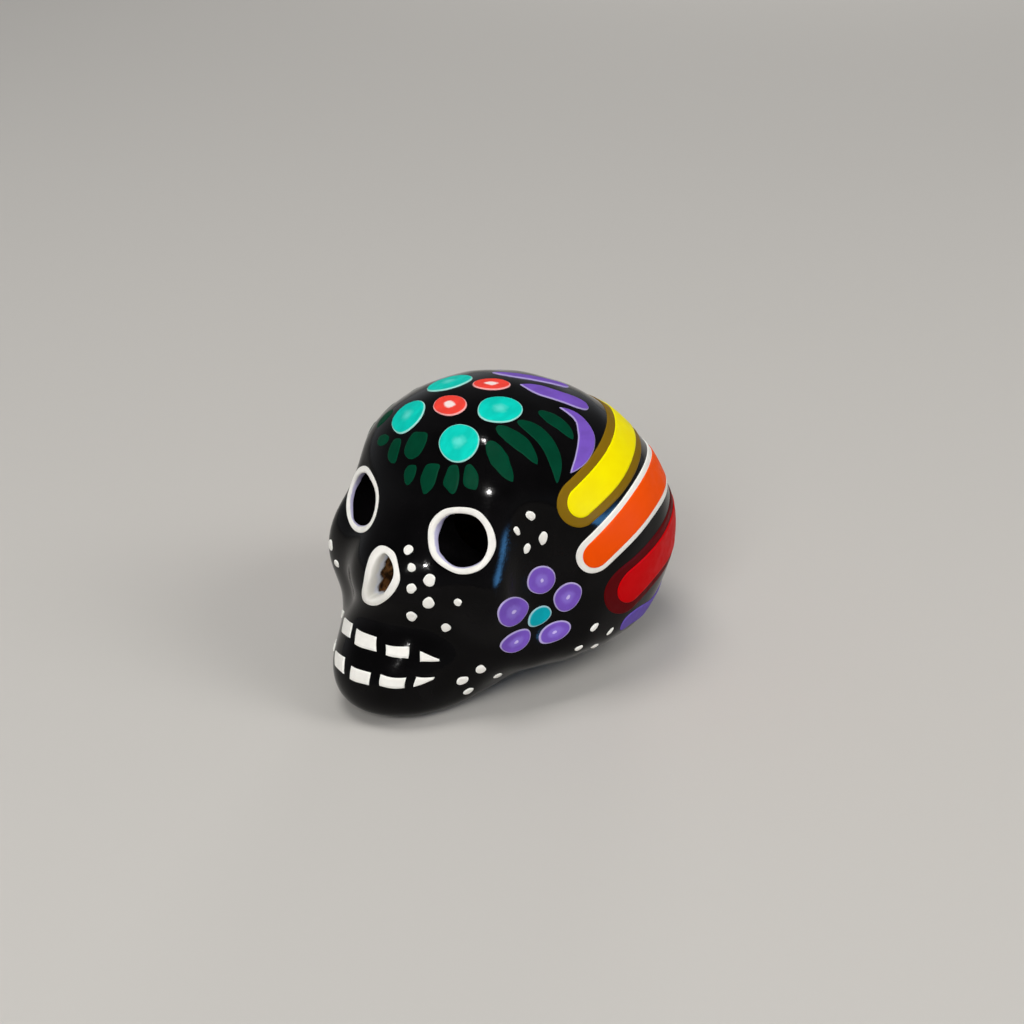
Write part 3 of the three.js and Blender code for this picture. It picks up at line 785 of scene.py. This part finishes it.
clay_body()
WHITE = paint("white", 0.0, streak=0.04)
# The white down the wall of each eye hole turns lavender grey with depth: painted shade in the hole
EYE_WHITE_PAINTED_SHADE = paint("white", 0.0, "eye_white", spot="bcb8d8", spot_from=0.0, spot_to=0.35, streak=0.04)
# The white down the wall of the nose hole turns faintly bluish with depth, a painted shade, and ends in the
# dark brown of the bare clay
NOSE_WHITE_PAINTED_SHADE = paint("white", 0.0, "nose_white", spot="4a2f1a", spot_from=0.75, spot_to=1.0, streak=0.04,
                   halo="f0f3fb")
lip("eye_lip_left", LEFT_EYE, LEFT_LOOPS, EYE_LINING, EYE_LINING_BELOW, EYE_WHITE_PAINTED_SHADE, seed=11)
lip("eye_lip_right", RIGHT_EYE, RIGHT_LOOPS, EYE_LINING, EYE_LINING_BELOW, EYE_WHITE_PAINTED_SHADE, seed=21)
lip("nose_lip", NOSE, NOSE_LOOPS, NOSE_LINING, NOSE_LINING_BELOW, NOSE_WHITE_PAINTED_SHADE, seed=31)

# Teeth, each by its corners
UPPER = [
    [(-31, -18.2), (-25.6, -17.6), (-25.6, -15.4), (-31, -17.7)],
    [(-14, -14.5), (-7, -12.7), (-9.5, -10.3), (-18.5, -13)],
    [(-4.1, -12.8), (4.4, -12.7), (2.9, -9.9), (-6, -10.1)],
    [(7.3, -13), (13.8, -14.4), (13.4, -11.8), (6.3, -10.9)],
    [(17.1, -15.5), (22.6, -16.5), (22.8, -16), (16.8, -13.1)],
]
LOWER = [
    [(-22.2, -21.8), (-17, -21), (-17, -19), (-22.2, -21.3)],
    [(-9.4, -19.4), (-3.8, -18.7), (-5.4, -15.9), (-12.8, -17.8)],
    [(-1, -18.8), (5.3, -19.2), (4.8, -16.6), (-1.9, -16.2)],
    [(8, -19.2), (14.4, -20.6), (14.3, -18.3), (7.6, -16.8)],
    [(16.5, -21), (21.6, -20.8), (21.8, -20.3), (16.9, -18.8)],
]
teeth = Heap()
for i, corners in enumerate(UPPER + LOWER):
    tooth(teeth, corners, seed=40 + i)
tooth_nodes = ["tooth_%s_%d" % (row, i) for row in ("upper", "lower") for i in range(1, 6)]
teeth.finish("teeth", WHITE, tooth_nodes)

# Crown flower, each dab by its ends and its width
CORAL_DABS = [((-26.7, 70.9), (13.2, 69.9), 4.0), ((-44, 83.9), (113, 83.4), 4.0)]
TEAL_DABS = [
    ((8.9, 62.5), (29.4, 52.6), 5.4), ((-18.9, 55.3), (-45.2, 63.8), 5.4),
    ((28.9, 69.6), (74.3, 72.8), 5.7), ((-62, 67.8), (-88.5, 82.6), 5.7),
]
TEAL_NUB = 0.04
coral = Heap()
for i, (start, end, width) in enumerate(CORAL_DABS):
    dab(coral, start, end, width, seed=50 + i)
coral_paint = paint("coral", 0.4, spot="ffe9e4", spot_from=0.6, spot_to=0.78)
coral.finish("crown_coral", coral_paint, ["crown_centre", "crown_back"])
teal = Heap()
for i, (start, end, width) in enumerate(TEAL_DABS):
    dab(teal, start, end, width, seed=52 + i, nub=TEAL_NUB)
teal_nodes = ["crown_%s_%s" % (end, side) for end in ("front", "back") for side in ("left", "right")]
teal_paint = paint("teal", 0.4, spot="5fe0d2", spot_from=0.55, spot_to=1.0)
teal.finish("crown_teal", teal_paint, teal_nodes)

# Leaves: the short ones by their corners, the long ones by their routes
SHORT_LEAVES = [
    [(-34.4, 46.6), (-36.5, 48.6), (-32.9, 50.7), (-28.2, 51), (-26.8, 49), (-29.9, 46.9)],
    [(-21.2, 47), (-23, 51.4), (-18.6, 53), (-15.3, 50.9), (-12.7, 46), (-14.9, 44.8), (-18.4, 45.2)],
    [(-11, 50.3), (-12.9, 56.4), (-8.9, 58), (-3.1, 58.6),
     (-0.2, 56.5), (0.6, 53), (-0.8, 50.2), (-5.2, 48.5)],
    [(-4.5, 43), (-4.8, 45.1), (-3.3, 46.8), (0.4, 47.4),
     (1.8, 45.7), (1.6, 42.9), (-0.5, 40.5), (-2.6, 40.9)],
    [(5.5, 43.5), (5.6, 46.1), (7, 48.9), (13.5, 49.5), (13.8, 46.5),
     (13.5, 43), (11.7, 40.6), (9.2, 39.1), (7.2, 41)],
    [(17.6, 43.6), (18, 46.7), (19, 49.5), (22.8, 50.1), (24.6, 47.6),
     (25, 44.5), (24.2, 41.6), (22.5, 40.6), (19.9, 42)],
    [(26.9, 45.6), (27.2, 49.8), (29.1, 50.8), (31.4, 49.9),
     (34.1, 46.9), (33.7, 42.9), (31.1, 42.6), (28, 43.5)],
]
LEFT_LEAVES = [
    [(38.6, 58.9), (42.6, 54.6), (46.2, 49.7), (49.8, 44.7)],
    [(44.3, 64.6), (52.7, 60.6), (59, 56.1), (63, 49.3)],
    [(61.2, 66.2), (70, 61.2), (73.4, 55.1), (72.7, 48.5), (69.9, 42)],
    [(84.8, 68), (88.6, 64.3), (91.3, 59.6), (90.3, 53.8)],
]
RIGHT_LEAVES = [
    [(-52.4, 55.8), (-50, 52), (-47, 48.6)],
    [(-66, 44.5), (-63.5, 40.5), (-61.5, 36.5)],
    [(-76, 50.8), (-75, 46.8), (-72, 42)],
    [(-92, 56), (-91, 52), (-88, 46.6)],
]
LEAF_WIDTH = 2.9
LEAF_HEIGHT = 0.08
leaves = Heap()
for corners in SHORT_LEAVES:
    patch(leaves, corners, LEAF_HEIGHT)
for i, places in enumerate(LEFT_LEAVES + RIGHT_LEAVES):
    stroke(leaves, places, LEAF_WIDTH, seed=70 + i, form=leafy, height=LEAF_HEIGHT)
leaf_nodes = ["leaf_front_%d" % i for i in range(1, 8)]
leaf_nodes += ["leaf_%s_%d" % (side, i) for side in ("left", "right") for i in range(1, 5)]
leaves.finish("leaves", paint("green", 0.0), leaf_nodes)

# Purple strokes behind the crown, and the crescents, each by its route and its width
PURPLE_STROKES = {
    "stroke_left": ([(126.2, 80.6), (123.7, 75.1), (123.6, 69.2), (125.2, 63.2), (128.8, 57.2)], 3.2),
    "stroke_middle": ([(-142, 79), (-172.7, 79), (165.6, 74.6), (156.3, 68.5), (156.3, 61)], 2.2),
    "stroke_right": ([(-129, 53), (-136, 55), (-144, 55.2), (-151, 54)], 2.6),
}
CRESCENTS = {
    "crescent_left": ([(106.3, 65.4), (108, 59.6), (105.1, 55.6), (100, 52.3),
                       (95, 50), (89.8, 48), (84.6, 46.1), (78, 43.9)], 2.7),
    "crescent_right": ([(-119, 52.2), (-113, 52.6), (-105.5, 51), (-97.5, 48.2)], 2.2),
}
strokes = Heap()
for i, (places, width) in enumerate(PURPLE_STROKES.values()):
    stroke(strokes, places, width, seed=80 + i, form=brushed)
for i, (places, width) in enumerate(CRESCENTS.values()):
    stroke(strokes, places, width, seed=83 + i, form=crescent)
stroke_nodes = ["purple_" + name for name in [*PURPLE_STROKES, *CRESCENTS]]
strokes.finish("purple_strokes", paint("purple", 0.3, "lilac"), stroke_nodes)


# Bands from temple to temple round the back

def mirror(places):
    """Places on the other side."""
    return [(-lon, lat) for lon, lat in places]


def all_round(places):
    """A route from one side to the other, by its left half to the middle of the back."""
    return list(places) + mirror(places)[::-1][1:]


HIGH = all_round([
    (69.4, 30.9), (81.7, 35), (97, 38.6), (113, 41.2), (132, 42.2), (146, 41), (160, 38.8), (180, 37.6),
])
MIDDLE = all_round([
    (77.2, 10.2), (86.8, 16.8), (98.8, 21.8), (114, 24.8), (130, 24.6), (146, 22.2), (160, 20), (180, 18.8),
])
LOW = all_round([(90.2, -10.4), (96.8, -6), (107.8, -1), (119, 2.6), (135, 4.4), (155, 4), (180, 3.4)])
LOWEST = all_round([(100.5, -22.4), (108, -20.4), (120, -20.8), (135, -19.6), (155, -16), (180, -14)])
BAND_HEIGHT = 0.14

# Each band's colour, route and width, how far its ends are cut back, and how high it starts
BANDS = [
    ("olive", HIGH, 6.8, 0.0, 0.0),
    ("yellow", HIGH, 4.1, 1.4, 0.1),
    ("white", MIDDLE, 6.2, 0.0, 0.0),
    ("orange", MIDDLE, 4.4, 0.9, 0.1),
    ("dark_red", LOW, 8.8, 0.0, 0.0),
    ("red", LOW, 6.0, 2.1, 0.1),
    ("violet", LOWEST, 3.1, 0.0, 0.0),
]
for i, (name, route, width, inset, lift) in enumerate(BANDS):
    band = Heap()
    stroke(band, route, width, seed=90 + i, steps=BAND_STEPS, height=BAND_HEIGHT, lift=lift, inset=inset,
           rough_edge=BAND_UNEVEN)
    material = WHITE if name == "white" else paint(name, 0.0, streak=0.03)
    band.finish("band_" + name, material, ["band_" + name])

# Flower on each side: oval petals by their ends and share of the usual width, a bent one, and the middle
PETAL_WIDTH = 3.9
SIDE_PETALS = [
    ((63.9, 1.6), (58.5, 13.6), 1.02), ((68.1, -6.8), (77.4, 2.8), 0.98),
    ((59, -16.4), (73.5, -14.2), 0.72), ((43, -14.2), (55.3, -13), 0.82),
]
BENT_PETAL = [
    (41.8, 1.2), (43.4, 4.4), (47, 4.7), (51.5, 2.4), (54.8, -1.4),
    (54.2, -4.6), (50.6, -6.9), (46.4, -6.6), (43, -3.4),
]
SIDE_CENTRE = [(54.4, -9), (65.6, -6.8)]
SIDE_CENTRE_WIDTH = 2.5
PETAL_NUB = 0.08
PETAL_PAINT = paint("purple", 0.35, spot="cbbcf2", spot_from=0.82, spot_to=0.9, halo="8a6fd0")
SIDE_TEAL = paint("side_teal", 0.35)
for side, turn in (("left", list), ("right", mirror)):
    petals = Heap()
    for i, (start, end, share) in enumerate(SIDE_PETALS):
        dab(petals, *turn([start, end]), PETAL_WIDTH * share, seed=100 + i, nub=PETAL_NUB)
    patch(petals, turn(BENT_PETAL), PAINT, nub=PETAL_NUB)
    petal_nodes = ["side_petal_%s_%d" % (side, i) for i in range(1, 6)]
    petals.finish("side_petals_" + side, PETAL_PAINT, petal_nodes)
    centre = Heap()
    dab(centre, *turn(SIDE_CENTRE), SIDE_CENTRE_WIDTH, seed=110)
    centre.finish("side_centre_" + side, SIDE_TEAL, ["side_centre_" + side])

# White dots by their places and widths, and long drops by their ends and widths: the face, then each side
FACE_DOTS = [
    ((9.4, 19.6), 1.3), ((12.3, 14.4), 1.1), ((13.4, 7.8), 1.3), ((12.9, -2.5), 1.4), ((18.7, 11), 1.6),
    ((18.6, 3), 1.6), ((28.8, 4.6), 1.1), ((24, -6.6), 1.3), ((36, -22.5), 1.4), ((29.8, -24.8), 1.4),
    ((31.2, -31.1), 1.2), ((-34.2, 6.4), 1.5), ((-30, 1.2), 1.2),
]
SIDE_DOTS = [((42.5, -30), 1.2)]
SIDE_DROPS = [
    ((55.3, 35.2), (58.0, 32.2), 1.1), ((49.4, 30.3), (51.7, 27.5), 0.75),
    ((62.7, 27.3), (61.4, 22.8), 1.2), ((55.9, 24.0), (54.3, 19.9), 0.95),
    ((86.1, -15.8), (82.5, -18.4), 0.85), ((95.2, -20.5), (92.8, -23.3), 0.75),
    ((79.9, -24.0), (75.8, -25.1), 0.85), ((91.6, -28.7), (87.0, -28.4), 0.8),
]


def across(place, width):
    """Ends of a level line of that width through a place."""
    lon, lat = place
    half = math.degrees(width / 2 / np.linalg.norm(skin(aim(place))[0][0] - HEART))
    stretch = half / math.cos(math.radians(lat))
    return (lon - stretch, lat), (lon + stretch, lat)


def dots(side, turn, round_dots, drops, seed):
    """White touches of the brush on one side, as one piece."""
    marks = [(*across(*turn([place]), width), width) for place, width in round_dots]
    marks += [(*turn([start, end]), width) for start, end, width in drops]
    heap = Heap()
    for i, (start, end, width) in enumerate(marks):
        dab(heap, start, end, width, seed=seed + i, rough_edge=DOT_UNEVEN, steps=DOT_STEPS)
    heap.finish("dots_" + side, WHITE, [])


dots("face", list, FACE_DOTS, [], seed=120)
dots("left", list, SIDE_DOTS, SIDE_DROPS, seed=133)
dots("right", mirror, SIDE_DOTS, SIDE_DROPS, seed=133)

# Floor, in metres
FLOOR_SIZE = 6.0
FLOOR_COLOUR = 0.62, 0.6, 0.57
bpy.ops.mesh.primitive_plane_add(size=FLOOR_SIZE)
floor = bpy.context.object
floor.name = "floor"
floor_material, tree, shader = blank("pale_floor", roughness=0.8, specular=0.0)
cloud = noise(tree, scale=3, detail=2)
tone = blend(tree, cloud, shade(FLOOR_COLOUR, 0.985), shade(FLOOR_COLOUR, 1.015))
tree.links.new(tone, shader.inputs["Base Color"])
floor.data.materials.append(floor_material)

# Room light, which is stronger at the level of the floor than overhead
ROOM_COLOUR = 0.93, 0.96, 1.0
ROOM_LEVEL = 0.4
ROOM_OVERHEAD = 0.16
OVERHEAD_FROM = 0.5
world = bpy.data.worlds.new("studio")
world.use_nodes = True
tree = world.node_tree
room = tree.nodes["Background"]
room.inputs["Color"].default_value = (*ROOM_COLOUR, 1)
way = node(tree, "ShaderNodeSeparateXYZ")
tree.links.new(node(tree, "ShaderNodeTexCoord").outputs["Generated"], way.inputs[0])
strength = ramp(tree, way.outputs["Z"], 0.0, OVERHEAD_FROM, ROOM_LEVEL, ROOM_OVERHEAD)
tree.links.new(strength, room.inputs["Strength"])
bpy.context.scene.world = world


# Lamps, in degrees, metres and watts

def toward(azimuth, elevation):
    """Direction from the skull, with the face at azimuth zero and the skull's left at a quarter turn."""
    turn, rise = math.radians(azimuth), math.radians(elevation)
    return Vector((math.sin(turn) * math.cos(rise), -math.cos(turn) * math.cos(rise), math.sin(rise)))


def look_back(thing, way):
    """Turns a lamp or a camera to look against a direction."""
    thing.rotation_euler = (-way).to_track_quat("-Z", "Y").to_euler()


LIT_POINT = Vector((0, 0, 0.02))


def softbox(name, azimuth, elevation, distance, wide, tall, power, colour):
    """Area lamp that looks at the skull and isn't seen itself."""
    way = toward(azimuth, elevation)
    data = bpy.data.lights.new(name, "AREA")
    data.shape = "RECTANGLE"
    data.size = wide
    data.size_y = tall
    data.energy = power
    data.color = colour
    lamp = add_object(name, data)
    lamp.location = LIT_POINT + way * distance
    look_back(lamp, way)
    lamp.visible_camera = False
    return lamp


WARM_WHITE = 1.0, 0.985, 0.96
LAMP_DISTANCE = 0.9

# Soft lamps that don't show in the gloss: azimuth, elevation, size and power
LAMPS = [
    ("key", 25, 33, 0.35, 3.6), ("top", -33, 78, 0.35, 2.6),
    ("fill", 110, 40, 0.4, 2.3), ("rim", -150, 14, 0.2, 1.0),
]
for name, azimuth, elevation, size, power in LAMPS:
    lamp = softbox(name, azimuth, elevation, LAMP_DISTANCE, size, size, power, WARM_WHITE)
    lamp.visible_glossy = False

# Two small bulbs that show in the gloss alone
BULBS = [("front_bulb", 27, 33, 4.0), ("top_bulb", -33, 81, 1.2)]
BULB_SIZE = 0.018
for name, azimuth, elevation, power in BULBS:
    lamp = softbox(name, azimuth, elevation, LAMP_DISTANCE, BULB_SIZE, BULB_SIZE, power, WARM_WHITE)
    lamp.visible_diffuse = False


def soften(lamp, peak):
    """Lets a lamp fade from its middle to its edges."""
    lamp.data.use_nodes = True
    tree = lamp.data.node_tree
    place = node(tree, "ShaderNodeSeparateXYZ")
    tree.links.new(node(tree, "ShaderNodeNewGeometry").outputs["Parametric"], place.inputs[0])
    both = node(tree, "ShaderNodeMath", operation="MULTIPLY")
    for axis, socket in zip(("X", "Y"), both.inputs):
        fade = node(tree, "ShaderNodeMath", operation="PINGPONG")
        tree.links.new(place.outputs[axis], fade.inputs[0])
        fade.inputs[1].default_value = 0.5
        tree.links.new(ramp(tree, fade.outputs[0], 0.0, 0.5), socket)
    strength = ramp(tree, both.outputs[0], 0.0, 1.0, 0.0, peak)
    tree.links.new(strength, tree.nodes["Emission"].inputs["Strength"])


# A cool card beside the skull that shows in the gloss alone
CARD_BLUE = 0.12, 0.45, 1.0
CARD_PEAK = 2.0
card = softbox("card", 106, 1.5, distance=0.6, wide=0.72, tall=0.26, power=9.0, colour=CARD_BLUE)
card.visible_diffuse = False
soften(card, CARD_PEAK)

# Camera at the photograph's viewing angle: degrees, and millimetres from the point that it looks at
AZIMUTH = 39.56
ELEVATION = 24.64
DISTANCE = 265.89
TARGET = np.array([10.41, -8.11, 27.02])
FOCAL_PIXELS = 2000
FRAME_PIXELS = 1024
SENSOR_WIDTH = 36
NEAREST = 0.01
back = toward(AZIMUTH, ELEVATION)
lens = bpy.data.cameras.new("camera")
lens.sensor_width = SENSOR_WIDTH
lens.lens = FOCAL_PIXELS / FRAME_PIXELS * SENSOR_WIDTH
lens.clip_start = NEAREST
camera = add_object("camera", lens)
camera.location = Vector((TARGET + SHIFT) * MM) + back * (DISTANCE * MM)
look_back(camera, back)
bpy.context.scene.camera = camera
bpy.context.scene.view_settings.view_transform = "Standard"
